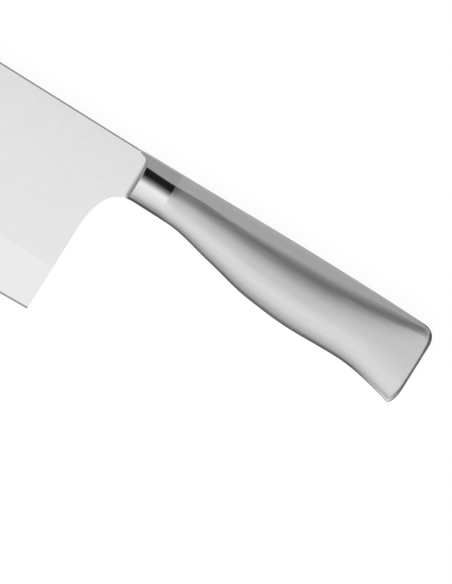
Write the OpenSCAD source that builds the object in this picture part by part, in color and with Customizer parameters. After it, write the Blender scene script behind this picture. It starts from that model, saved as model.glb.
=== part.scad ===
// Chinese cleaver with an all-steel hollow handle, lying on its side.
// The blade points along -X, the grip along +X, the spine faces +Y and the cutting edge -Y.
// The blade's mid-plane is level, half the grip's thickness above the surface it lies on.

/* [Blade] */
// Length of the blade, from the bolster to its front edge
blade_l = 150; // [120:1:190]
// Greatest height of the blade, from the spine to the lowest point of the edge
blade_h = 77.3; // [66:0.1:95]
// Thickness of the blade's flat
blade_t = 2.4; // [2.2:0.1:2.7]
// Radius of the long curve of the cutting edge
edge_r = 1560; // [1200:10:2500]
// Distance of the edge's lowest point in front of the heel
edge_low = 63; // [40:1:80]
// Height of the wide ground bevel at the lowest point
bevel_h = 20.2; // [12:0.1:30]
// Thickness left at the foot of the wide bevel
bevel_foot_t = 0.4; // [0.3:0.05:0.8]
// Half angle of the honed edge
hone_angle = 19; // [12:1:25]
// Width of the flat left on the very edge
edge_flat = 0.04; // [0.02:0.01:0.1]
// Chamfer along the spine
spine_chamfer = 0.3; // [0.1:0.05:0.5]
// Radius of the front top corner
nose_r = 8; // [3:0.5:15]
// Radius of the front bottom corner
toe_r = 3; // [1:0.5:6]

/* [Heel and choil] */
// Distance of the heel in front of the bolster
heel_back = 10.7; // [8:0.1:16]
// Height of the curve that joins the heel to the bolster
choil_h = 21.1; // [16:0.1:26]
// How far behind the bolster's front that curve ends
choil_end = 2.5; // [1:0.1:3.5]
// Length of the curve's nearly level stretch under the bolster
choil_level = 6.6; // [4:0.1:8]
// Depth over which the curve turns down towards the heel
choil_turn = 3.1; // [1.5:0.1:8]

/* [Tang] */
// Reach of the tang behind the bolster's front
tang_l = 58; // [40:1:75]
// Height of the tang
tang_h = 9; // [6:0.5:10]
// Thickness of the tang, thinner than the blade
tang_t = 2; // [1.4:0.1:2]
// Depth of the tang's upper edge below the spine
tang_drop = 5.2; // [4.5:0.1:6.5]

/* [Bolster] */
// Length of the polished bolster
bolster_l = 13.2; // [11:0.1:15]
// Width of the hollow shoulder between the blade's flat and the bolster
shoulder_w = 1.75; // [1.2:0.05:2.4]
// Length of the pointed horn along the spine
horn_l = 6.2; // [4.5:0.1:8]
// Length of the spigot that the grip's shells slide on to
spigot_l = 6; // [4:0.5:9]
// Clearance of everything that fits inside something else
fit_gap = 0.05; // [0.02:0.01:0.1]

/* [Grip outline] */
// Height of the grip at the bolster's front
front_h = 19.1; // [17.5:0.1:21]
// Height of the grip at the neck
neck_h = 19.45; // [18:0.05:21]
// Height of the grip at the shoulder
shoulder_h = 23.95; // [21:0.05:26]
// Height of the grip where the fingers close
fingers_h = 28.4; // [26:0.1:29.5]
// Height of the grip at the palm swell
palm_h = 30.05; // [29:0.05:33]
// Height of the grip at the waist before the tail
waist_h = 29.5; // [26:0.1:32]
// Height of the grip at the tail
tail_h = 33.4; // [30:0.1:37]
// Rise of the grip's back above the blade's spine at the bolster
front_rise = 0.3; // [0.1:0.05:0.6]
// Rise of the grip's back above the blade's spine at the palm
palm_rise = 1.45; // [1:0.05:2.5]
// Drop of the grip's back from the palm to the tail
tail_drop = 0.5; // [0.1:0.1:1.2]

/* [Grip thickness] */
// Thickness at the bolster's front
front_t = 12.6; // [12:0.1:14]
// Thickness at the neck
neck_t = 14.2; // [13.2:0.1:15.5]
// Thickness at the palm swell
palm_t = 18.8; // [17.5:0.1:22]
// Thickness at the waist
waist_t = 17; // [15:0.1:18]
// Thickness at the tail
tail_t = 12.8; // [12.5:0.1:15]
// Depth of the widest line below the back, as a share of the height
widest_share = 0.6; // [0.5:0.01:0.65]
// Fullness of the belly at the palm, where 1 would be a square corner
palm_fullness = 0.64; // [0.55:0.01:0.75]
// Fullness of the belly at the tail
tail_fullness = 0.8; // [0.6:0.01:0.85]

/* [Grip stations] */
// Distance of the neck behind the bolster's front
neck_x = 18; // [16:0.5:22]
// Distance of the shoulder behind the bolster's front
shoulder_x = 40; // [34:1:46]
// Distance of the finger grip behind the bolster's front
fingers_x = 60; // [54:1:66]
// Distance of the palm swell behind the bolster's front
palm_x = 80; // [74:1:86]
// Distance of the waist behind the bolster's front
waist_x = 101; // [96:1:108]
// Distance of the butt behind the bolster's front
butt_x = 130; // [122:1:140]

/* [Back facets] */
// Height of the sloping facet at the bolster's front
front_facet = 4.5; // [3.8:0.1:5.2]
// Height of the facet at its deepest, near the shoulder
shoulder_facet = 5.9; // [5:0.1:6.6]
// Height of the facet at the palm
palm_facet = 5.8; // [4.5:0.1:6.6]
// Height of the facet at the waist
waist_facet = 4.2; // [3:0.1:5]
// Height of the facet at the tail
tail_facet = 1.4; // [0.8:0.1:2]
// Sideways lean of the facet for each millimetre of its height
facet_lean = 0.85; // [0.75:0.01:0.95]
// Tilt of the side where it starts at the facet's lower edge, at the bolster's front
crease_tilt = 21; // [16:1:28]
// Tilt of the side there at the palm
palm_tilt = 26; // [20:1:30]
// Tilt of the side there at the tail
tail_tilt = 9; // [4:1:12]
// Half width of the rounded ridge at the bolster
front_ridge = 1.4; // [1.35:0.05:1.6]
// Half width of the rounded ridge at the palm
palm_ridge = 2.7; // [2.2:0.1:3.2]
// Half width of the rounded ridge at the tail
tail_ridge = 4.9; // [4:0.1:5.1]

/* [Shells and butt] */
// Wall of the two pressed shells
shell_t = 1; // [0.8:0.05:1.2]
// Length of the butt cap outside the shells
cap_l = 2.7; // [2.2:0.1:3.2]
// Length of the cap's plug inside the shells
cap_plug_l = 3; // [2:0.5:5]
// Radius of the butt's upper corner
butt_top_r = 5.2; // [4:0.1:6]
// Height of the curve at the butt's lower corner
butt_low_h = 7.5; // [4:0.1:9]
// Rounding of the butt's edge
butt_round = 1; // [0.6:0.1:1.5]

/* [Inside the grip] */
// Free space between the filling and the butt cap's plug
fill_gap = 0.8; // [0.3:0.1:2]
// Diameter of the balance weight
weight_d = 9.4; // [7:0.2:10]
// Length of the balance weight
weight_l = 22; // [12:1:26]

/* [Hidden] */

ridge_crown = front_ridge / 7;         // rise of the rounded ridge over its edges
facet_shares = [0, 0.1, 0.27, 0.6];    // where the facet is divided on its way down
rim_shares = [1.2, 0.57, 0.17];        // where the bolster's rim bends, in shoulder widths
side_lead = 0.4;                       // share of the side's drop that leads into its curve
side_room = 0.9;                       // share of the side's bulge that lead may use up
toe_gap = fit_gap * 2;                 // how far the bolster's toe stays clear of its rim
ridge_n = 2;                           // steps over half the ridge
side_n = 5;                            // steps from the facet to the widest line
belly_n = 11;                          // steps from the widest line round to the belly
choil_n = 16;                          // steps along the choil
grip_n = 27;                           // steps along the shells
bolster_n = 6;                         // steps along the bolster
wall_n = 5;                            // steps up the hollow shoulder
cap_n = 8;                             // steps round the butt's edge
round_n = 96;                          // sides of the weight and of the blade's round corners
hone_n = 1440;                         // sides of the disc that hones the edge

half_t = blade_t / 2;
heel_x = -heel_back;
low_x = heel_x - edge_low;
edge_y = -blade_h;
tail_x = butt_x - cap_l;
step_x = (tail_x - bolster_l) / grip_n;
fill_x = bolster_l + spigot_l + fit_gap;
fill_end = tail_x - cap_plug_l - fill_gap;
weight_x = fill_end - weight_l;
crease_j = ridge_n + len(facet_shares);
last_j = crease_j + side_n + belly_n;

// The origin is the middle of the knife's footprint, on the surface it lies on.
place = [(blade_l - butt_x) / 2, (blade_h - palm_rise) / 2,
    max(front_t, neck_t, palm_t, waist_t, tail_t) / 2];

function lerp(a, b, t) = a + (b - a) * t;
function bez(a, b, c, d, t) =
    pow(1 - t, 3) * a + 3 * pow(1 - t, 2) * t * b + 3 * (1 - t) * t * t * c + pow(t, 3) * d;

// A smooth curve through knots [x, value] that doesn't overshoot them.
function rate(k, i) = (k[i + 1][1] - k[i][1]) / (k[i + 1][0] - k[i][0]);
function slope(k, i) =
    i == 0 ? (3 * rate(k, 0) - slope(k, 1)) / 2
    : i == len(k) - 1 ? (3 * rate(k, i - 1) - slope(k, i - 1)) / 2
    : let (a = rate(k, i - 1), b = rate(k, i)) a * b <= 0 ? 0 : 2 * a * b / (a + b);
function span_at(k, x, i = 0) = i >= len(k) - 2 || x < k[i + 1][0] ? i : span_at(k, x, i + 1);
function curve(k, x) =
    let (i = span_at(k, x), w = k[i + 1][0] - k[i][0], t = max(0, (x - k[i][0]) / w))
    (1 + 2 * t) * pow(1 - t, 2) * k[i][1] + t * pow(1 - t, 2) * w * slope(k, i)
    + t * t * (3 - 2 * t) * k[i + 1][1] + t * t * (t - 1) * w * slope(k, i + 1);

rise_knots = [[-horn_l, 0], [0, front_rise], [neck_x, lerp(front_rise, palm_rise, 0.2)],
    [palm_x, palm_rise], [waist_x, palm_rise - tail_drop / 10], [tail_x, palm_rise - tail_drop]];
height_knots = [[0, front_h], [neck_x, neck_h], [shoulder_x, shoulder_h], [fingers_x, fingers_h],
    [palm_x, palm_h], [waist_x, waist_h], [tail_x, tail_h]];
half_knots = [[0, front_t / 2], [neck_x, neck_t / 2], [palm_x, palm_t / 2], [waist_x, waist_t / 2],
    [tail_x, tail_t / 2]];
facet_knots = [[0, front_facet], [shoulder_x, shoulder_facet], [palm_x, palm_facet],
    [waist_x, waist_facet], [tail_x, tail_facet]];
ridge_knots = [[0, front_ridge], [palm_x, palm_ridge], [tail_x, tail_ridge]];
tilt_knots = [[0, crease_tilt], [palm_x, palm_tilt], [tail_x, tail_tilt]];
fullness_knots = [[0, palm_fullness], [palm_x, palm_fullness], [tail_x, tail_fullness]];

// How far the butt's rounding, of length l and depth d, has drawn the surface in at x.
function drawn_in(x, l, d) = let (s = max(0, x - butt_x + l) / l) d * (1 - sqrt(max(0, 1 - s * s)));

// The choil, as a curve from the heel (t = 0) up to the bolster's belly (t = 1).
choil_top = curve(rise_knots, choil_end) - curve(height_knots, choil_end);
function choil(t) = [
    bez(heel_x, heel_x, choil_end - choil_level, choil_end, t),
    bez(choil_top - choil_h, choil_top - choil_turn, choil_top, choil_top, t)];
function choil_y(x, lo = 0, hi = 1, n = 24) =
    n == 0 ? choil(hi)[1]
    : let (mid = (lo + hi) / 2) choil(mid)[0] < x ? choil_y(x, mid, hi, n - 1) : choil_y(x, lo, mid, n - 1);

function back_y(x) = curve(rise_knots, min(x, tail_x)) - drawn_in(x, butt_top_r, butt_top_r);
function belly_y(x) =
    x < choil_end ? choil_y(x)
    : curve(rise_knots, min(x, tail_x)) - curve(height_knots, min(x, tail_x))
        + drawn_in(x, cap_l, butt_low_h);

// Half of the grip's section at x, as [y, z] from the ridge round to the belly.
// A wall of more than 0 gives the line that lies that far inside the surface.
facet_tilt = atan(facet_lean);
ridge_shift = tan((90 - facet_tilt) / 2);
function crease_shift(tilt) = sin((facet_tilt + tilt) / 2) / cos((facet_tilt - tilt) / 2);
function section(x, wall = 0) =
    let (xg = max(0, min(x, tail_x)),
        tilt = curve(tilt_knots, xg),
        inset = drawn_in(x, butt_round, butt_round),
        top = back_y(x) - wall,
        low = belly_y(x) + wall,
        w = curve(ridge_knots, xg) - inset - wall * ridge_shift,
        f = curve(facet_knots, xg) - wall * (1 - crease_shift(tilt)),
        m = curve(half_knots, xg) - inset - wall,
        c = w + f * facet_lean,
        yr = top - ridge_crown,
        yc = yr - f,
        ym = min(yc - f / 2, top - (top - low) * widest_share),
        a = min(side_lead * (yc - ym), side_room * (m - c) / tan(tilt)),
        full = curve(fullness_knots, xg))
    concat(
        [for (i = [0:ridge_n - 1]) let (s = i / ridge_n) [top - ridge_crown * s * s, w * s]],
        [for (s = facet_shares) [lerp(yr, yc, s), lerp(w, c, s)]],
        [for (i = [0:side_n - 1]) let (s = i / side_n)
            [bez(yc, yc - a, lerp(ym, yc, side_lead), ym, s), bez(c, c + a * tan(tilt), m, m, s)]],
        [for (i = [0:belly_n]) let (s = i / belly_n)
            [bez(ym, lerp(ym, low, full), low, low, s), bez(m, m, m * full, 0, s)]]);

// The same line at x inside the shells, where they run straight from one step to the next.
function shell_line(x, wall) =
    let (i = min(grip_n - 1, floor((x - bolster_l) / step_x)), x0 = bolster_l + i * step_x)
    lerp(section(x0, wall), section(x0 + step_x, wall), (x - x0) / step_x);
function steps_between(a, b) = concat(
    [a],
    [for (i = [0:grip_n]) let (x = bolster_l + i * step_x) if (x > a + fit_gap && x < b - fit_gap) x],
    [b]);

function at_x(x, line) = [for (p = line) [x, p[0], p[1]]];
function mirrored(half) =
    concat(half, [for (j = [len(half) - 2:-1:1]) [half[j][0], half[j][1], -half[j][2]]]);

// The bolster's front: its rim, and the toe in front of it where its hollow shoulder meets the blade.
rim_x = concat([-horn_l, -horn_l, -horn_l, -(horn_l + shoulder_w) / 2],
    [for (s = rim_shares) -s * shoulder_w]);
function rim(j) = let (x = j > crease_j ? 0 : rim_x[j], p = section(x)[j]) [x, p[0], p[1]];
function toe(j) =
    let (p = rim(j), far = j > crease_j - 2 ? -shoulder_w : p[0] - toe_gap)
    [far, max(p[1] - (j > ridge_n && j < crease_j ? toe_gap : 0), choil_y(far)), min(half_t, p[2])];
function shoulder(j, s) =
    let (a = toe(j), b = rim(j))
    [lerp(a[0], b[0], sin(90 * s)), lerp(a[1], b[1], s), lerp(b[2], a[2], cos(90 * s))];

// A solid skinned over rings that have the same number of points. The first ring's halves mirror
// each other across z = 0, so its face is a strip of flat bands, and the last ring is flat.
module skinned(rings) {
    n = len(rings[0]);
    last = (len(rings) - 1) * n;
    polyhedron(
        points = [for (r = rings) each r],
        faces = concat(
            [[0, 1, n - 1], [n / 2 - 1, n / 2, n / 2 + 1]],
            [for (j = [1:n / 2 - 2]) each [[j, j + 1, n - j], [j + 1, n - j - 1, n - j]]],
            [for (i = [0:len(rings) - 2], j = [0:n - 1])
                let (a = i * n + j, b = i * n + (j + 1) % n) each [[a, b + n, b], [a, a + n, b + n]]],
            [[for (j = [n - 1:-1:0]) last + j]]));
}

module blade_outline() {
    front_y = edge_y + edge_r - sqrt(edge_r * edge_r - pow(blade_l + low_x, 2));
    difference() {
        polygon(concat(
            [[-blade_l, 0]],
            [for (j = [0:last_j]) [toe(j)[0], toe(j)[1]]],
            [for (i = [choil_n:-1:0]) let (p = choil(i / choil_n)) if (p[0] < -shoulder_w - fit_gap) p],
            [[heel_x, edge_y - toe_r], [-blade_l, edge_y - toe_r]]));
        translate([-blade_l + nose_r, -nose_r]) corner_waste(nose_r, 1);
        translate([-blade_l + toe_r, front_y + toe_r]) corner_waste(toe_r, -1);
    }
}
module corner_waste(r, up) {
    difference() {
        translate([-2 * r, up > 0 ? 0 : -2 * r]) square(2 * r);
        circle(r, $fn = round_n);
    }
}
module blade_section() {
    foot = bevel_foot_t / 2;
    half = [[0, half_t - spine_chamfer], [-spine_chamfer, half_t], [edge_y + bevel_h, half_t],
        [edge_y, foot]];
    polygon(concat(half, [for (i = [len(half) - 1:-1:0]) [half[i][0], -half[i][1]]]));
}
module hone() {
    reach = (blade_t - edge_flat / 2) / tan(hone_angle);
    translate([low_x, edge_y + edge_r, 0])
        rotate_extrude($fn = hone_n)
            polygon([[0, -blade_t], [edge_r - reach, -blade_t], [edge_r, -edge_flat / 2],
                [edge_r, edge_flat / 2], [edge_r - reach, blade_t], [0, blade_t]]);
}
module tang(gap = 0) {
    translate([-shoulder_w, -tang_drop - tang_h - gap, -tang_t / 2 - gap])
        cube([shoulder_w + tang_l + gap, tang_h + 2 * gap, tang_t + 2 * gap]);
}
module blade() {
    color("gainsboro") {
        intersection() {
            linear_extrude(blade_t, center = true) blade_outline();
            translate([-blade_l, 0, 0]) rotate([90, 0, 90]) linear_extrude(blade_l) blade_section();
            hone();
        }
        tang();
    }
}

module bolster() {
    inside = shell_t + fit_gap;
    color("silver") difference() {
        skinned(concat(
            [for (i = [0:wall_n]) mirrored([for (j = [0:last_j]) shoulder(j, i / wall_n)])],
            [for (i = [1:bolster_n]) mirrored([for (j = [0:last_j])
                let (x = lerp(rim(j)[0], bolster_l, i / bolster_n), p = section(x)[j]) [x, p[0], p[1]]])],
            [for (x = steps_between(bolster_l, bolster_l + spigot_l))
                mirrored(at_x(x, shell_line(x, inside)))]));
        tang(fit_gap);
    }
}

module shell_half() {
    rings = [for (i = [0:grip_n]) let (x = bolster_l + i * step_x, inner = section(x, shell_t))
        at_x(x, concat(section(x), [for (j = [last_j:-1:0]) inner[j]]))];
    n = len(rings[0]);
    polyhedron(
        points = [for (r = rings) each r],
        faces = concat(
            [for (j = [0:last_j - 1]) each [[j, j + 1, n - 1 - j], [j + 1, n - 2 - j, n - 1 - j]]],
            [for (i = [0:grip_n - 1], j = [0:n - 1])
                let (a = i * n + j, b = i * n + (j + 1) % n) each [[a, b + n, b], [a, a + n, b + n]]],
            [for (j = [0:last_j - 1]) let (a = grip_n * n)
                each [[a + j, a + n - 1 - j, a + j + 1], [a + j + 1, a + n - 1 - j, a + n - 2 - j]]]));
}
module shell_left() {
    color("lightgray") shell_half();
}
module shell_right() {
    color("lightgray") mirror([0, 0, 1]) shell_half();
}

module butt_cap() {
    inside = shell_t + fit_gap;
    color("lightgray") skinned(concat(
        [for (x = steps_between(tail_x - cap_plug_l, tail_x)) mirrored(at_x(x, shell_line(x, inside)))],
        [for (i = [0:cap_n]) let (x = lerp(tail_x, butt_x, sin(90 * i / cap_n)))
            mirrored(at_x(x, section(x)))]));
}

module balance_weight() {
    weight_y = (back_y(fill_end) + belly_y(fill_end)) / 2;
    color("dimgray") translate([weight_x, weight_y, 0])
        rotate([0, 90, 0]) cylinder(h = weight_l, d = weight_d, $fn = round_n);
}

module grip_filling() {
    inside = shell_t + fit_gap;
    color("darkkhaki") difference() {
        skinned([for (x = steps_between(fill_x, fill_end)) mirrored(at_x(x, shell_line(x, inside)))]);
        tang(fit_gap);
        balance_weight();
    }
}

translate(place) blade();
translate(place) bolster();
translate(place) shell_left();
translate(place) shell_right();
translate(place) butt_cap();
translate(place) grip_filling();
translate(place) balance_weight();
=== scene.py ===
import math

import bmesh
import bpy
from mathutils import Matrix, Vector


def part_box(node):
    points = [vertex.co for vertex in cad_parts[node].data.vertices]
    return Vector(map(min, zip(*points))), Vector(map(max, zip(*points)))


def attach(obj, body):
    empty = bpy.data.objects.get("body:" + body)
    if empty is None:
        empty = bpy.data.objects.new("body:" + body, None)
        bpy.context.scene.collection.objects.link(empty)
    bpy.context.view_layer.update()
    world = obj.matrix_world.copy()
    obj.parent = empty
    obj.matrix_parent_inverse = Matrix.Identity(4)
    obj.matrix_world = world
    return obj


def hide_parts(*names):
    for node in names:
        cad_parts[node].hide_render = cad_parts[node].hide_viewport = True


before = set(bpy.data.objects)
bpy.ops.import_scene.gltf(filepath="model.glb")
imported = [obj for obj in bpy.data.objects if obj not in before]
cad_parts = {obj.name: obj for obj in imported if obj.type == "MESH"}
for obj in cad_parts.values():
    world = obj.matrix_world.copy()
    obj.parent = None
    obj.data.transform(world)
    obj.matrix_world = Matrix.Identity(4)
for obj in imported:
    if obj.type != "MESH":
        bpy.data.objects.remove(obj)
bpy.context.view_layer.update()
print("frame loaded")

scene = bpy.context.scene
mm = 0.001
bladeLength = 150
seamX = 13.35  # where the polished bolster meets the satin grip
seamRound = 0.05

# Everything is drawn in millimetres from the bolster's front shoulder, then put in the frame.
bladeLow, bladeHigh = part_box("blade")
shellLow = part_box("shell_left")[0]
shoulderPoint = Vector((bladeLow.x + bladeLength * mm, bladeHigh.y, shellLow.z))


# tools for the materials
def newMaterial(name, colour, metallic, roughness):
    material = bpy.data.materials.new(name)
    material.use_nodes = True
    tree = material.node_tree
    shader = tree.nodes["Principled BSDF"]
    shader.inputs["Base Color"].default_value = (*colour, 1)
    shader.inputs["Metallic"].default_value = metallic
    shader.inputs["Roughness"].default_value = roughness
    coords = tree.nodes.new("ShaderNodeTexCoord")
    return material, tree, shader, coords.outputs["Object"]


def addNoise(tree, coords, pattern):
    stretch, detail = pattern
    mapping = tree.nodes.new("ShaderNodeMapping")
    mapping.inputs["Scale"].default_value = stretch
    tree.links.new(coords, mapping.inputs["Vector"])
    noise = tree.nodes.new("ShaderNodeTexNoise")
    noise.inputs["Scale"].default_value = 1
    noise.inputs["Detail"].default_value = detail
    noise.inputs["Roughness"].default_value = 0.55
    tree.links.new(mapping.outputs["Vector"], noise.inputs["Vector"])
    return noise.outputs["Fac"]


def spread(tree, value, low, high, fromLow=0.3, fromHigh=0.7):
    mapRange = tree.nodes.new("ShaderNodeMapRange")
    mapRange.inputs["From Min"].default_value = fromLow
    mapRange.inputs["From Max"].default_value = fromHigh
    mapRange.inputs["To Min"].default_value = low
    mapRange.inputs["To Max"].default_value = high
    tree.links.new(value, mapRange.inputs["Value"])
    return mapRange.outputs["Result"]


def combine(tree, operation, a, b):
    node = tree.nodes.new("ShaderNodeMath")
    node.operation = operation
    tree.links.new(a, node.inputs[0])
    tree.links.new(b, node.inputs[1])
    return node.outputs[0]


def tint(tree, shader, value, dark, light):
    ramp = tree.nodes.new("ShaderNodeValToRGB")
    ramp.color_ramp.elements[0].position = 0.3
    ramp.color_ramp.elements[0].color = (*dark, 1)
    ramp.color_ramp.elements[1].position = 0.7
    ramp.color_ramp.elements[1].color = (*light, 1)
    tree.links.new(value, ramp.inputs["Fac"])
    tree.links.new(ramp.outputs["Color"], shader.inputs["Base Color"])


def addBump(tree, shader, value, strength, distance):
    bump = tree.nodes.new("ShaderNodeBump")
    bump.inputs["Strength"].default_value = strength
    bump.inputs["Distance"].default_value = distance
    tree.links.new(value, bump.inputs["Height"])
    tree.links.new(bump.outputs["Normal"], shader.inputs["Normal"])


def grey(value):
    return (value, value, value)


# The steels. A pattern is a noise's stretch along x, y and z, then its detail.
# The grain dulls and scratches a steel, unless it has scratches of its own.
scratchDepth = 0.00002
bladeFinish = {
    "colour": 0.838,
    "toneChange": 0.006,
    "roughness": (0.1, 0.13),
    "grain": ((260, 260, 260), 4),
    "tones": ((90, 90, 90), 5),
    "scratches": ((5200, 900, 900), 2),
    "scratchStrength": 0.03,
}
bevelFinish = {
    "colour": 0.872,
    "toneChange": 0.006,
    "roughness": (0.1, 0.13),
    "grain": ((5200, 350, 900), 3),
    "tones": ((120, 60, 60), 4),
    "scratchStrength": 0.03,
}
edgeFinish = {
    "colour": 0.58,
    "toneChange": 0.1,
    "roughness": (0.25, 0.4),
    "grain": ((9000, 500, 500), 2),
}
bolsterFinish = {
    "colour": 0.86,
    "toneChange": 0.01,
    "roughness": (0.05, 0.08),
    "grain": ((140, 600, 600), 4),
    "tones": ((200, 200, 200), 4),
    "scratchStrength": 0.02,
}
hollowFinish = {
    "colour": 0.86,
    "toneChange": 0.03,
    "roughness": (0.28, 0.34),
    "grain": ((2600, 500, 500), 2),
    "scratchStrength": 0.04,
}
gripFinish = {
    "colour": 0.83,
    "toneChange": 0.03,
    "roughness": (0.34, 0.39),
    "grain": ((40, 2400, 2400), 2),
    "tones": ((25, 900, 900), 4),
    "scratchStrength": 0.05,
    "seamPolish": 0.77,  # the roughness right behind the seam, as a share
    "seamReach": 3.5,
}


def polishBySeam(tree, coords, finish):
    split = tree.nodes.new("ShaderNodeSeparateXYZ")
    tree.links.new(coords, split.inputs[0])
    seam = shoulderPoint.x + seamX * mm
    return spread(tree, split.outputs["X"], finish["seamPolish"], 1, seam, seam + finish["seamReach"] * mm)


def makeSteel(name, finish):
    colour, change = finish["colour"], finish["toneChange"]
    material, tree, shader, coords = newMaterial(name, grey(colour), 1, finish["roughness"][1])
    grain = addNoise(tree, coords, finish["grain"])
    dulling = spread(tree, grain, *finish["roughness"])
    if "seamPolish" in finish:
        dulling = combine(tree, "MULTIPLY", dulling, polishBySeam(tree, coords, finish))
    tree.links.new(dulling, shader.inputs["Roughness"])
    tones = addNoise(tree, coords, finish["tones"]) if "tones" in finish else grain
    tint(tree, shader, tones, grey(colour * (1 - change)), grey(colour * (1 + change)))
    if "scratchStrength" in finish:
        scratches = addNoise(tree, coords, finish["scratches"]) if "scratches" in finish else grain
        addBump(tree, shader, scratches, finish["scratchStrength"], scratchDepth)
    return material


# the resin and the cast iron inside the grip
pottingFinish = {
    "colour": (0.36, 0.3, 0.2),
    "dark": (0.27, 0.22, 0.14),
    "light": (0.44, 0.37, 0.25),
    "metallic": 0,
    "roughness": (0.5, 0.75),
    "lumps": ((700, 700, 700), 6),
    "lumpStrength": 0.4,
    "lumpDepth": 0.0002,
}
ironFinish = {
    "colour": (0.2, 0.19, 0.18),
    "dark": (0.13, 0.125, 0.12),
    "light": (0.26, 0.25, 0.24),
    "metallic": 1,
    "roughness": (0.45, 0.7),
    "lumps": ((500, 500, 500), 6),
    "lumpStrength": 0.5,
    "lumpDepth": 0.0001,
}


def makeLumpy(name, finish):
    roughest = finish["roughness"][1]
    material, tree, shader, coords = newMaterial(name, finish["colour"], finish["metallic"], roughest)
    lumps = addNoise(tree, coords, finish["lumps"])
    tint(tree, shader, lumps, finish["dark"], finish["light"])
    tree.links.new(spread(tree, lumps, *finish["roughness"]), shader.inputs["Roughness"])
    addBump(tree, shader, lumps, finish["lumpStrength"], finish["lumpDepth"])
    return material


bladeSatin = makeSteel("bladeSatin", bladeFinish)
groundBevel = makeSteel("groundBevel", bevelFinish)
honedEdge = makeSteel("honedEdge", edgeFinish)
bolsterPolish = makeSteel("bolsterPolish", bolsterFinish)
hollowSatin = makeSteel("hollowSatin", hollowFinish)
gripSatin = makeSteel("gripSatin", gripFinish)
pottingResin = makeLumpy("pottingResin", pottingFinish)
weightIron = makeLumpy("weightIron", ironFinish)
print("materials made")


# The grip's cross sections, which the bolster shares. A list gives (x, value) at points along the grip.
gripShape = {
    "rise": [(-6.2, 0), (0, 0.3), (18, 0.53), (80, 1.45), (101, 1.4), (127.3, 0.95)],
    "height": [(0, 19.1), (18, 19.45), (40, 23.95), (60, 28.4), (80, 30.05), (101, 29.5), (127.3, 33.4)],
    "half": [(0, 6.297), (18, 7.097), (80, 9.395), (101, 8.497), (127.3, 6.397)],
    "facet": [(0, 4.55), (12, 5.05), (25, 5.0), (40, 5.85), (60, 6.2), (80, 6.0), (101, 4.6), (127.3, 1.6)],
    "ridge": [(0, 1.4), (12, 1.55), (25, 2.05), (40, 1.98), (55, 2.1), (80, 2.62), (101, 3.3), (127.3, 4.9)],
    "fullness": [(0, 0.56), (10, 0.57), (19, 0.78), (40, 0.72), (80, 0.68), (127.3, 0.88)],
    "creaseSoft": [(0, 0.1), (14, 0.15), (45, 1.0), (80, 1.9), (110, 2.2), (127.3, 1.2)],
    "ridgeCrown": 0.2,
    "ridgeSoft": 0.35,
    "facetLean": 0.85,
    "tilt": [(0, 21), (80, 26), (127.3, 9)],
    "widestShare": [(0, 0.6), (80, 0.6), (101, 0.56), (127.3, 0.43)],
    "tailX": 127.3,
    "buttX": 130.0,
    "capLength": 2.7,
    "buttTopRadius": 5.5,
    "buttTopDepth": 6.0,
    "buttLowHeight": 7.5,
    "buttRound": 1.3,
    "ridgeRoundLength": 2.5,
    "ridgeRoundDepth": 2.3,
}
choilShape = {"heelX": -10.7, "endX": 2.5, "height": 21.1, "level": 6.6, "turn": 3.1}
sectionSteps = {"ridge": 4, "ridgeSoft": 4, "facet": 6, "crease": 6, "side": 14, "belly": 26}
softLimits = {"sideHandle": 0.4, "creaseHandle": 0.9, "ridgeByFacet": 0.2, "ridgeByWidth": 0.3,
              "creaseByFacet": 0.5, "nearMiddle": 0.02, "nearBelly": 0.004}


def mix(a, b, t):
    return a + (b - a) * t


def bezier(a, b, c, d, t):
    return (1 - t) ** 3 * a + 3 * (1 - t) ** 2 * t * b + 3 * (1 - t) * t * t * c + t ** 3 * d


def bend(start, corner, end, t):
    return tuple((1 - t) ** 2 * a + 2 * t * (1 - t) * b + t * t * c for a, b, c in zip(start, corner, end))


def rate(knots, i):
    return (knots[i + 1][1] - knots[i][1]) / (knots[i + 1][0] - knots[i][0])


def slope(knots, i):
    if i == 0:
        return (3 * rate(knots, 0) - slope(knots, 1)) / 2
    if i == len(knots) - 1:
        return (3 * rate(knots, i - 1) - slope(knots, i - 1)) / 2
    before, after = rate(knots, i - 1), rate(knots, i)
    return 0 if before * after <= 0 else 2 * before * after / (before + after)


def curveAt(knots, x):
    i = 0
    while i < len(knots) - 2 and x >= knots[i + 1][0]:
        i += 1
    width = knots[i + 1][0] - knots[i][0]
    t = max(0.0, (x - knots[i][0]) / width)
    return ((1 + 2 * t) * (1 - t) ** 2 * knots[i][1] + t * (1 - t) ** 2 * width * slope(knots, i)
            + t * t * (3 - 2 * t) * knots[i + 1][1] + t * t * (t - 1) * width * slope(knots, i + 1))


# how far a round over the last stretch before the butt's end has drawn a line in
def drawnIn(x, length, depth):
    share = max(0.0, x - gripShape["buttX"] + length) / length
    return depth * (1 - math.sqrt(max(0.0, 1 - share * share)))


choilTop = curveAt(gripShape["rise"], choilShape["endX"]) - curveAt(gripShape["height"], choilShape["endX"])


def choilPoint(t):
    choil = choilShape
    return (bezier(choil["heelX"], choil["heelX"], choil["endX"] - choil["level"], choil["endX"], t),
            bezier(choilTop - choil["height"], choilTop - choil["turn"], choilTop, choilTop, t))


def choilY(x):
    low, high = 0.0, 1.0
    for _ in range(30):
        middle = (low + high) / 2
        if choilPoint(middle)[0] < x:
            low = middle
        else:
            high = middle
    return choilPoint(high)[1]


def backY(x):
    grip = gripShape
    rise = curveAt(grip["rise"], min(x, grip["tailX"]))
    return rise - drawnIn(x, grip["buttTopRadius"], grip["buttTopDepth"])


def bellyY(x):
    grip = gripShape
    if x < choilShape["endX"]:
        return choilY(x)
    shellX = min(x, grip["tailX"])
    height = curveAt(grip["height"], shellX)
    return curveAt(grip["rise"], shellX) - height + drawnIn(x, grip["capLength"], grip["buttLowHeight"])


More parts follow.
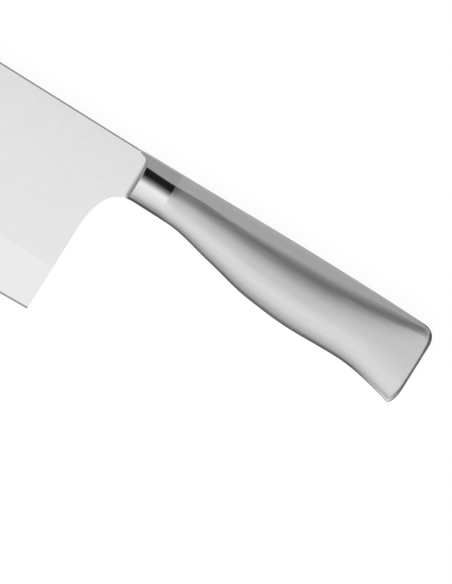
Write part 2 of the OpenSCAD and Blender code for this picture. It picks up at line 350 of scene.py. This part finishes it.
facetTilt = math.atan(gripShape["facetLean"])
ridgeShift = math.tan((math.pi / 2 - facetTilt) / 2)
halfAtTail = slope(gripShape["half"], len(gripShape["half"]) - 1)


# Half a section at x, from the ridge down to the belly, a wall's thickness inside the skin. Each point
# (y, z) has a mark, the same on every section: 0 at the ridge's edge, 1 at the crease, 2 at the widest line
# and 3 at the belly.
def section(x, wall=0.0):
    grip, steps, limits = gripShape, sectionSteps, softLimits
    shellX = max(0.0, min(x, grip["tailX"]))
    tilt = math.radians(curveAt(grip["tilt"], shellX))
    creaseShift = math.sin((facetTilt + tilt) / 2) / math.cos((facetTilt - tilt) / 2)
    top = backY(x) - wall
    low = bellyY(x) + wall
    ridgeDrawn = drawnIn(x, grip["ridgeRoundLength"], grip["ridgeRoundDepth"])
    sideDrawn = drawnIn(x, grip["buttRound"], grip["buttRound"])
    ridge = curveAt(grip["ridge"], shellX) - ridgeDrawn - wall * ridgeShift
    facet = curveAt(grip["facet"], shellX) - wall * (1 - creaseShift)
    widest = curveAt(grip["half"], shellX) - sideDrawn - wall + halfAtTail * max(0.0, x - grip["tailX"])
    crease = ridge + facet * grip["facetLean"]
    ridgeY = top - grip["ridgeCrown"]
    creaseY = ridgeY - facet
    widestY = min(creaseY - facet / 2, top - (top - low) * curveAt(grip["widestShare"], shellX))
    handle = min(limits["sideHandle"] * (creaseY - widestY),
                 limits["creaseHandle"] * (widest - crease) / math.tan(tilt))
    full = curveAt(grip["fullness"], shellX)
    facetLength = math.hypot(facet, crease - ridge)
    ridgeSoft = min(grip["ridgeSoft"], limits["ridgeByFacet"] * facetLength, limits["ridgeByWidth"] * ridge)
    creaseSoft = min(curveAt(grip["creaseSoft"], shellX), limits["creaseByFacet"] * facetLength,
                     limits["creaseHandle"] * handle)
    ridgeEnd = 1 - ridgeSoft / ridge
    facetStart = ridgeSoft / facetLength
    facetEnd = 1 - creaseSoft / facetLength
    sideStart = creaseSoft * math.cos(tilt) / (3 * handle)

    def ridgePoint(t):
        return (top - grip["ridgeCrown"] * t * t, ridge * t)

    def facetPoint(t):
        return (mix(ridgeY, creaseY, t), mix(ridge, crease, t))

    def sidePoint(t):
        return (bezier(creaseY, creaseY - handle, mix(widestY, creaseY, limits["sideHandle"]), widestY, t),
                bezier(crease, crease + handle * math.tan(tilt), widest, widest, t))

    def bellyPoint(t):
        return (bezier(widestY, mix(widestY, low, full), low, low, t),
                bezier(widest, widest, widest * full, 0, t))

    points = [(ridgePoint(0), -1), (ridgePoint(limits["nearMiddle"]), -1)]
    for i in range(1, steps["ridge"]):
        points.append((ridgePoint(ridgeEnd * i / steps["ridge"]), -1))
    for i in range(steps["ridgeSoft"]):
        t = i / steps["ridgeSoft"]
        point = bend(ridgePoint(ridgeEnd), (ridgeY, ridge), facetPoint(facetStart), t)
        points.append((point, mix(-0.01, 0.03, t)))
    for i in range(steps["facet"]):
        t = i / steps["facet"]
        points.append((facetPoint(mix(facetStart, facetEnd, t)), mix(0.04, 0.97, t ** 1.6)))
    for i in range(steps["crease"]):
        t = i / steps["crease"]
        point = bend(facetPoint(facetEnd), (creaseY, crease), sidePoint(sideStart), t)
        points.append((point, mix(0.98, 1.03, t)))
    for i in range(steps["side"]):
        t = mix(sideStart, 1, i / steps["side"])
        points.append((sidePoint(t), 1 + t))
    for i in range(steps["belly"]):
        t = i / steps["belly"]
        points.append((bellyPoint(t), 2 + t))
    points.append(((low, widest * limits["nearBelly"]), 3))
    points.append(((low, 0.0), 3))
    return points


def halfRing(x, wall=0.0):
    return [(x, y, z) for (y, z), mark in section(x, wall)]


def mirrored(half):
    return half + [(x, y, -z) for x, y, z in half[-2:0:-1]]


mergeDistance = 0.0004


# a skin is one ring of edges, extruded from section to section
def extrudeThrough(rings):
    mesh = bmesh.new()
    place = mesh.verts.layers.int.new("place")
    bmesh.ops.create_circle(mesh, segments=len(rings[0]), radius=1)
    mesh.verts.ensure_lookup_table()
    for i, vertex in enumerate(mesh.verts):
        vertex[place] = i
        vertex.co = rings[0][i]
    loop = list(mesh.edges)
    firstLoop = list(loop)
    for ring in rings[1:]:
        grown = bmesh.ops.extrude_edge_only(mesh, edges=loop)["geom"]
        newVerts = {v for v in grown if isinstance(v, bmesh.types.BMVert)}
        for vertex in newVerts:
            vertex.co = ring[vertex[place]]
        loop = [e for e in grown if isinstance(e, bmesh.types.BMEdge) and set(e.verts) <= newVerts]
    return mesh, firstLoop, loop


def closeEnd(mesh, loop):
    bmesh.ops.contextual_create(mesh, geom=loop)


def finishPiece(name, mesh, materials, node, sharpAngle=28):
    bmesh.ops.remove_doubles(mesh, verts=mesh.verts, dist=mergeDistance)
    bmesh.ops.recalc_face_normals(mesh, faces=mesh.faces)
    for face in mesh.faces:
        face.smooth = True
    for edge in mesh.edges:
        edge.smooth = edge.is_manifold and edge.calc_face_angle(0) < math.radians(sharpAngle)
    return addPiece(name, mesh, materials, node)


def addPiece(name, mesh, materials, node):
    bmesh.ops.scale(mesh, vec=(mm, mm, mm), verts=mesh.verts)
    bmesh.ops.translate(mesh, vec=shoulderPoint, verts=mesh.verts)
    data = bpy.data.meshes.new(name)
    mesh.to_mesh(data)
    mesh.free()
    piece = bpy.data.objects.new(name, data)
    scene.collection.objects.link(piece)
    for material in materials:
        data.materials.append(material)
    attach(piece, "root")
    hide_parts(node)
    return piece


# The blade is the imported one, its spine broken to a narrow chamfer and its outline's edges rounded off.
bladeShape = {
    "half": 1.2,
    "spineHalf": 0.78,
    "spineDrop": 0.6,
    "spineFront": -144.98,
    "spineRear": -4.19,
    "edgeRound": 0.1,
    "roundSteps": 3,
}
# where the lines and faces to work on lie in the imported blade
bladeMarks = {
    "chamferEnd": -4.5,
    "chamferLow": -0.35,
    "spineEdgeLow": -0.75,
    "spineEdgeEnd": -5.2,
    "coreHalf": 0.5,
    "skin": 0.01,
    "middleX": -10,
    "sharp": 0.3,
    "heelFront": -11,
    "heelRear": -2.2,
    "heelTop": -15,
    "frontX": -140,
    "bevelTop": -50,
    "bevelUpright": (0.99, 0.9995),
    "honedTop": -70,
    "honedLean": -0.2,
    "honedUpright": 0.85,
}


def layChamfer(mesh):
    shape, marks = bladeShape, bladeMarks
    for vertex in mesh.verts:
        x, y, z = vertex.co
        if x > marks["chamferEnd"] or y < marks["chamferLow"] or abs(z) < marks["coreHalf"]:
            continue
        side = math.copysign(1, z)
        if abs(z) > shape["half"] - marks["skin"]:
            endX = shape["spineRear"] if x > marks["middleX"] else shape["spineFront"]
            vertex.co = (endX, -shape["spineDrop"], side * shape["half"])
        else:
            vertex.co.z = side * mix(shape["spineHalf"], shape["half"], -y / shape["spineDrop"])


def outlineEdges(mesh):
    marks = bladeMarks
    found = []
    for edge in mesh.edges:
        x, y, z = (edge.verts[0].co + edge.verts[1].co) / 2
        if not edge.is_manifold or edge.calc_face_angle(0) < marks["sharp"] or abs(z) < marks["sharp"]:
            continue
        onSpine = y > marks["spineEdgeLow"] and x < marks["spineEdgeEnd"]
        onHeel = marks["heelFront"] < x < marks["heelRear"] and y < marks["heelTop"]
        onFront = x < marks["frontX"]
        if onSpine or onHeel or onFront:
            found.append(edge)
    return found


def makeBlade():
    shape, marks = bladeShape, bladeMarks
    mesh = bmesh.new()
    mesh.from_mesh(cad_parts["blade"].data)
    bmesh.ops.translate(mesh, vec=-shoulderPoint, verts=mesh.verts)
    bmesh.ops.scale(mesh, vec=(1 / mm, 1 / mm, 1 / mm), verts=mesh.verts)
    bmesh.ops.remove_doubles(mesh, verts=mesh.verts, dist=0.0005)
    bmesh.ops.dissolve_limit(mesh, angle_limit=0.0005, verts=mesh.verts, edges=mesh.edges)
    layChamfer(mesh)
    made = bmesh.ops.bevel(mesh, geom=outlineEdges(mesh), offset=shape["edgeRound"], affect="EDGES",
                           segments=shape["roundSteps"], profile=0.5, material=-1, clamp_overlap=True)
    for face in made["faces"]:
        face.smooth = True
    bevelLow, bevelHigh = marks["bevelUpright"]
    for face in mesh.faces:
        upright = abs(face.normal.z)
        y = face.calc_center_median().y
        if y < marks["honedTop"] and face.normal.y < marks["honedLean"] and upright > marks["honedUpright"]:
            face.material_index = 2
        elif y < marks["bevelTop"] and bevelLow < upright < bevelHigh:
            face.material_index = 1
    return addPiece("bladePlate", mesh, [bladeSatin, groundBevel, honedEdge], "blade")


makeBlade()
print("blade made")


# The bolster has a toe on the blade's faces, a hollow up to the rim, the polished body and the spigot in the
# grip. The rim gives x by the section's marks, so that the horn runs forward along the spine.
bolsterShape = {
    "rim": [(0, -6.2), (0.05, -5.6), (0.12, -3.9), (0.27, -1.9), (0.6, -0.85), (1, -0.4), (1.2, -0.25),
            (1.5, 0), (2, 0.1)],
    "shoulderWidth": 2.3,
    "leastHollow": 0.1,
    "toeDrop": 0.1,
    "toeLength": 0.04,
    "toeSink": 0.01,
    "hollowSteps": 12,
    "hollowLean": -0.12,
    "hollowEnd": 0.01,
    "rimRound": 0.07,
    "rimShare": 0.25,
    "bodySteps": 18,
    "bodyEndShare": 0.006,
    "spigotLength": 6.0,
    "wall": 1.05,
}


def makeBolster():
    shape = bolsterShape

    def rimX(mark):
        return curveAt(shape["rim"], min(max(mark, 0.0), shape["rim"][-1][0]))

    rim, toe = [], []
    for j, (point, mark) in enumerate(section(0)):
        x = rimX(mark)
        y, z = section(x)[j][0]
        rim.append(Vector((x, y, z)))
        toeX = min(-shape["shoulderWidth"], x - shape["leastHollow"])
        drop = shape["toeDrop"] if 0 < mark < 1 else 0
        toeHalf = min(bladeShape["half"] - shape["toeSink"], z)
        toe.append(Vector((toeX - shape["toeLength"], max(y - drop, choilY(toeX)), toeHalf)))
    rings = [mirrored([(low.x, low.y, 0) for low in toe])]
    for i in range(shape["hollowSteps"]):
        share = i / shape["hollowSteps"]
        angle = math.radians(90 * share)
        half = []
        for low, high in zip(toe, rim):
            rise = min(high.x - low.x, high.z - low.z) * (1 - math.cos(angle))
            half.append((mix(low.x, high.x, math.sin(angle)), mix(low.y, high.y, share), low.z + rise))
        rings.append(mirrored(half))
    inward = []
    for low, high in zip(toe, rim):
        across = Vector((0, high.y - low.y, high.z - low.z))
        room = shape["rimShare"] * min(across.length, high.x - low.x)
        inward.append(min(shape["rimRound"], room) * across.normalized())
    for degrees in (0, 30, 60):
        angle = math.radians(degrees)
        half = []
        for high, inset in zip(rim, inward):
            point = high - inset * (1 - math.sin(angle))
            half.append((high.x + inset.length * (1 - math.cos(angle)), point.y, point.z))
        rings.append(mirrored(half))
    rear = seamX - seamRound
    shares = [i / shape["bodySteps"] for i in range(1, shape["bodySteps"])]
    for share in [0, shape["bodyEndShare"]] + shares + [1 - shape["bodyEndShare"], 1]:
        half = []
        for j, (high, inset) in enumerate(zip(rim, inward)):
            x = mix(high.x + inset.length, rear, share)
            y, z = section(x)[j][0]
            half.append((x, y, z))
        rings.append(mirrored(half))
    for degrees in (30, 60, 90):
        angle = math.radians(degrees)
        x = rear + seamRound * math.sin(angle)
        rings.append(mirrored(halfRing(x, seamRound * (1 - math.cos(angle)))))
    rings.append(mirrored(halfRing(seamX, shape["wall"])))
    rings.append(mirrored(halfRing(seamX + shape["spigotLength"], shape["wall"])))
    mesh, first, last = extrudeThrough(rings)
    closeEnd(mesh, last)
    bmesh.ops.recalc_face_normals(mesh, faces=mesh.faces)
    for face in mesh.faces:
        if face.normal.x < shape["hollowLean"] and face.calc_center_median().x < shape["hollowEnd"]:
            face.material_index = 1
    return finishPiece("bolsterBody", mesh, [bolsterPolish, hollowSatin], "bolster")


makeBolster()
print("bolster made")


# the grip's two shells, which meet on the mid plane
shellShape = {"wall": 1.0, "steps": 84, "firstStep": 0.03, "lastStep": 0.02}


def makeShell(name, node, side):
    shape = shellShape
    tail = gripShape["tailX"]
    stations = [(seamX, seamRound), (seamX + shape["firstStep"], seamRound / 2), (seamX + seamRound, 0.0),
                (seamX + seamRound * 2, 0.0)]
    stations += [(mix(seamX, tail, i / shape["steps"]), 0.0) for i in range(1, shape["steps"])]
    stations += [(tail - shape["lastStep"], 0.0), (tail, 0.0)]
    rings = []
    for x, drop in stations:
        skin = halfRing(x, drop) + halfRing(x, shape["wall"])[::-1]
        rings.append([(px, py, pz * side) for px, py, pz in skin])
    mesh, first, last = extrudeThrough(rings)
    for loop in (first, last):
        closeEnd(mesh, loop)
    return finishPiece(name, mesh, [gripSatin], node)


makeShell("gripShellLeft", "shell_left", 1)
makeShell("gripShellRight", "shell_right", -1)
print("shells made")


# the butt plate, with a plug that sits inside the shells
buttShape = {"plugLength": 3.0, "wall": 1.05, "steps": 22, "firstStep": 0.02, "leastStep": 0.03,
             "faceInset": 0.03}


def makeButt():
    shape, grip = buttShape, gripShape
    tail, end = grip["tailX"], grip["buttX"]
    rings = [mirrored(halfRing(tail - shape["plugLength"], shape["wall"])),
             mirrored(halfRing(tail, shape["wall"])), mirrored(halfRing(tail)),
             mirrored(halfRing(tail + shape["firstStep"]))]
    for i in range(1, shape["steps"] + 1):
        x = mix(tail, end, math.sin(math.pi / 2 * i / shape["steps"]))
        if x > tail + shape["leastStep"]:
            rings.append(mirrored(halfRing(x)))
    flat = rings[-1]
    inset = shape["faceInset"]
    centreY = sum(y for x, y, z in flat) / len(flat)
    rings.append([(x, mix(y, centreY, inset), mix(z, 0, inset)) for x, y, z in flat])
    mesh, first, last = extrudeThrough(rings)
    for loop in (first, last):
        closeEnd(mesh, loop)
    return finishPiece("buttPlate", mesh, [gripSatin], "butt_cap")


makeButt()
print("butt made")


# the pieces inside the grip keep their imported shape
def dressNode(node, material):
    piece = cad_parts[node]
    piece.data.materials.clear()
    piece.data.materials.append(material)


dressNode("grip_filling", pottingResin)
dressNode("balance_weight", weightIron)
print("inside pieces dressed")


# The studio is in metres: a white floor, a round light tent, two cards on the floor that paint shade into
# reflections and a soft lamp.
studio = {
    "floorSize": 3.0,
    "floorWhite": 0.92,
    "floorGlow": 0.95,  # the share of the floor that the eye sees as plain white
    "domeRadius": 1.7,
    "domeSink": 0.01,
    "cardHeight": 0.0005,
    "lampPower": 11.0,
    "lampSize": 0.9,
    "lampPlace": (0.25, -0.35, 1.1),
}


def stageObject(name, mesh, material):
    data = bpy.data.meshes.new(name)
    mesh.to_mesh(data)
    mesh.free()
    thing = bpy.data.objects.new(name, data)
    scene.collection.objects.link(thing)
    data.materials.append(material)
    return thing


def emptyMaterial(name):
    material = bpy.data.materials.new(name)
    material.use_nodes = True
    tree = material.node_tree
    tree.nodes.clear()
    output = tree.nodes.new("ShaderNodeOutputMaterial")
    glow = tree.nodes.new("ShaderNodeEmission")
    glow.inputs["Strength"].default_value = 1
    return material, tree, output.inputs["Surface"], glow


def placeOnObject(tree):
    coords = tree.nodes.new("ShaderNodeTexCoord")
    split = tree.nodes.new("ShaderNodeSeparateXYZ")
    tree.links.new(coords.outputs["Object"], split.inputs[0])
    return split.outputs["X"], split.outputs["Y"], split.outputs["Z"]


def seenByEye(tree):
    path = tree.nodes.new("ShaderNodeLightPath").outputs
    direct = combine(tree, "MAXIMUM", path["Is Camera Ray"], path["Is Glossy Ray"])
    return combine(tree, "MAXIMUM", direct, path["Is Transmission Ray"])


def makeFloor():
    material, tree, surface, glow = emptyMaterial("whiteFloor")
    diffuse = tree.nodes.new("ShaderNodeBsdfDiffuse")
    diffuse.inputs["Color"].default_value = (*grey(studio["floorWhite"]), 1)
    share = tree.nodes.new("ShaderNodeMath")
    share.operation = "MULTIPLY"
    share.inputs[1].default_value = studio["floorGlow"]
    tree.links.new(seenByEye(tree), share.inputs[0])
    blend = tree.nodes.new("ShaderNodeMixShader")
    tree.links.new(share.outputs[0], blend.inputs[0])
    tree.links.new(diffuse.outputs[0], blend.inputs[1])
    tree.links.new(glow.outputs[0], blend.inputs[2])
    tree.links.new(blend.outputs[0], surface)
    mesh = bmesh.new()
    bmesh.ops.create_grid(mesh, x_segments=1, y_segments=1, size=studio["floorSize"])
    return stageObject("floor", mesh, material)


# The tent's levels by degrees from overhead, towards the back when positive. It is bright overhead and
# towards the belly, and a black flag hangs behind the back. Ranges along x are shares of its radius.
tentShape = {
    "bands": [(-180, 0.4), (-88, 0.4), (-75, 0.57), (-60, 0.7), (-40, 0.82), (-25, 0.88), (-14, 0.92),
              (-6, 0.96), (2, 0.97), (50, 0.97), (70, 0.6), (80, 0.36), (95, 0.36)],
    "flagBands": [(1, 1), (2.8, 0.83), (5, 0.51), (8, 0.29), (12, 0.14), (16, 0.065), (20, 0.015),
                  (34, 0.011), (44, 0.025), (50, 0.07), (57, 0.17), (66, 0.3), (76, 0.85), (80, 1)],
    "flagNose": (-0.4, -0.18),
    "flagButt": (0.26, 0.48),
    "buttFade": (0.45, 0.85),
    "buttLevel": 0.08,
    "noseFade": (-1, -0.35),
    "noseLevel": 0.3,
}


def bandRamp(tree, turn, bands):
    ramp = tree.nodes.new("ShaderNodeValToRGB")
    ramp.color_ramp.interpolation = "LINEAR"
    stops = ramp.color_ramp.elements
    while len(stops) < len(bands):
        stops.new(0.5)
    for stop, (degrees, level) in zip(stops, bands):
        stop.position = 0.5 + degrees / 360
    for stop, (degrees, level) in zip(stops, bands):
        stop.color = (*grey(level), 1)
    tree.links.new(turn, ramp.inputs["Fac"])
    return ramp.outputs["Color"]


def alongTent(tree, x, low, high, reach):
    return spread(tree, x, low, high, *(share * studio["domeRadius"] for share in reach))


def makeDome():
    tent = tentShape
    material, tree, surface, glow = emptyMaterial("lightTent")
    x, y, z = placeOnObject(tree)
    turn = spread(tree, combine(tree, "ARCTAN2", y, z), 0, 1, -math.pi, math.pi)
    beside = combine(tree, "ADD", alongTent(tree, x, 1, 0, tent["flagNose"]),
                     alongTent(tree, x, 0, 1, tent["flagButt"]))
    flagged = tree.nodes.new("ShaderNodeMix")
    flagged.data_type = "RGBA"
    flagged.inputs["B"].default_value = (1, 1, 1, 1)
    tree.links.new(beside, flagged.inputs["Factor"])
    tree.links.new(bandRamp(tree, turn, tent["flagBands"]), flagged.inputs["A"])
    hung = tree.nodes.new("ShaderNodeMix")
    hung.data_type = "RGBA"
    hung.blend_type = "MULTIPLY"
    hung.inputs["Factor"].default_value = 1
    tree.links.new(bandRamp(tree, turn, tent["bands"]), hung.inputs["A"])
    tree.links.new(flagged.outputs["Result"], hung.inputs["B"])
    fades = combine(tree, "MULTIPLY", alongTent(tree, x, 1, tent["buttLevel"], tent["buttFade"]),
                    alongTent(tree, x, tent["noseLevel"], 1, tent["noseFade"]))
    dim = tree.nodes.new("ShaderNodeVectorMath")
    dim.operation = "SCALE"
    tree.links.new(hung.outputs["Result"], dim.inputs[0])
    tree.links.new(fades, dim.inputs["Scale"])
    tree.links.new(dim.outputs[0], glow.inputs["Color"])
    tree.links.new(glow.outputs[0], surface)
    mesh = bmesh.new()
    bmesh.ops.create_icosphere(mesh, subdivisions=4, radius=studio["domeRadius"])
    bmesh.ops.bisect_plane(mesh, geom=mesh.verts[:] + mesh.edges[:] + mesh.faces[:],
                           plane_co=(0, 0, -studio["domeSink"]), plane_no=(0, 0, 1), clear_inner=True)
    dome = stageObject("lightDome", mesh, material)
    dome.visible_camera = False
    return dome


# two glowing cards on the floor, seen only in reflections, paint shade into the steel's reflections, one
# beside the belly and one beside the back
bellyPaintedReflection = {
    "low": (-0.6, -1.65),
    "high": (0.9, 0.0394),
    "lineSlope": -0.115,  # the belly's line: y = slope * x + start
    "lineStart": 0.0205,
    "reach": (0.0, 0.06),
    "dark": 0.02,
    "light": 0.42,
    "riseAlong": (0.018, 0.028),
    "rise": 1.6,
    "easeAlong": (0.04, 0.06),
    "ease": 0.76,
    "tailAlong": (0.116, 0.131),
    "tailReach": (0.0, 0.012),
    "tailLight": 0.95,
    "beyondAlong": (0.138, 0.143),
    "beyond": 0.14,
}
# painted shade for the reflections beside the back
backPaintedReflection = {
    "low": (-0.16, 0.0394),
    "high": (0.3, 0.25),
    "reach": (0.06, 0.11),
    "dark": 0.3,
    "light": 0.95,
    "cornerAlong": (0.128, 0.137),
    "corner": 0.08,
}


def bellyShade(tree, x, y):
    # painted shade in reflections: dark beside the belly's line and lighter away from it, with painted light
    # close to the tail's belly
    card = bellyPaintedReflection
    line = tree.nodes.new("ShaderNodeMath")
    line.operation = "MULTIPLY_ADD"
    line.inputs[1].default_value = card["lineSlope"]
    line.inputs[2].default_value = card["lineStart"]
    tree.links.new(x, line.inputs[0])
    away = combine(tree, "SUBTRACT", line.outputs[0], y)
    rise = combine(tree, "MULTIPLY", spread(tree, x, 1, card["rise"], *card["riseAlong"]),
                   spread(tree, x, 1, card["ease"], *card["easeAlong"]))
    level = combine(tree, "MULTIPLY", spread(tree, away, card["dark"], card["light"], *card["reach"]), rise)
    tail = combine(tree, "MULTIPLY", spread(tree, x, 0, 1, *card["tailAlong"]),
                   spread(tree, away, 0, card["tailLight"], *card["tailReach"]))
    beyond = spread(tree, x, 0, card["beyond"], *card["beyondAlong"])
    return combine(tree, "MAXIMUM", combine(tree, "MAXIMUM", level, tail), beyond)


def backShade(tree, x, y):
    # painted shade in reflections: grey beside the back, black by the butt's upper corner
    card = backPaintedReflection
    level = spread(tree, y, card["dark"], card["light"], *card["reach"])
    return combine(tree, "MULTIPLY", level, spread(tree, x, 1, card["corner"], *card["cornerAlong"]))


# a card that glows with painted shade and light; it is hidden from the camera, from diffuse light and from
# shadows, and is seen only in reflections
def makeReflectionCard(name, card, shade):
    low, high = card["low"], card["high"]
    material, tree, surface, glow = emptyMaterial(name)
    x, y, z = placeOnObject(tree)
    tree.links.new(shade(tree, x, y), glow.inputs["Color"])
    tree.links.new(glow.outputs[0], surface)
    mesh = bmesh.new()
    bmesh.ops.create_grid(mesh, x_segments=1, y_segments=1, size=0.5)
    bmesh.ops.scale(mesh, vec=(high[0] - low[0], high[1] - low[1], 1), verts=mesh.verts)
    middle = ((low[0] + high[0]) / 2, (low[1] + high[1]) / 2, studio["cardHeight"])
    bmesh.ops.translate(mesh, vec=middle, verts=mesh.verts)
    thing = stageObject(name, mesh, material)
    thing.visible_camera = False
    thing.visible_diffuse = False
    thing.visible_shadow = False
    thing.visible_transmission = False
    return thing


def makeLamp():
    data = bpy.data.lights.new("softLamp", "AREA")
    data.shape = "DISK"
    data.size = studio["lampSize"]
    data.energy = studio["lampPower"]
    lamp = bpy.data.objects.new("softLamp", data)
    scene.collection.objects.link(lamp)
    lamp.location = studio["lampPlace"]
    lamp.rotation_euler = Vector(studio["lampPlace"]).to_track_quat("Z", "Y").to_euler()
    lamp.visible_glossy = False
    return lamp


def makeWorld():
    world = bpy.data.worlds.new("paleWorld")
    world.use_nodes = True
    scene.world = world
    back = world.node_tree.nodes["Background"]
    back.inputs["Color"].default_value = (1, 1, 1, 1)
    back.inputs["Strength"].default_value = 1


makeFloor()
makeDome()
# painted shade for the reflections beside the belly and the back
makeReflectionCard("bellyPaintedReflection", bellyPaintedReflection, bellyShade)
makeReflectionCard("backPaintedReflection", backPaintedReflection, backShade)
makeLamp()
makeWorld()
print("studio made")


# the camera looks straight down; its middle and the height of its view are in millimetres
cameraView = {"lens": 1200, "sensor": 36, "clip": (0.01, 20), "middle": (51.7, -29.4), "turn": 32,
              "heightOfView": 227.65}


def makeCamera():
    view = cameraView
    data = bpy.data.cameras.new("viewCamera")
    data.lens = view["lens"]
    data.sensor_width = view["sensor"]
    data.clip_start, data.clip_end = view["clip"]
    camera = bpy.data.objects.new("viewCamera", data)
    scene.collection.objects.link(camera)
    away = view["heightOfView"] * view["lens"] / view["sensor"]
    camera.location = shoulderPoint + Vector((*view["middle"], away)) * mm
    camera.rotation_euler = (0, 0, math.radians(view["turn"]))
    scene.camera = camera


makeCamera()
scene.view_settings.view_transform = "Standard"
print("camera set")
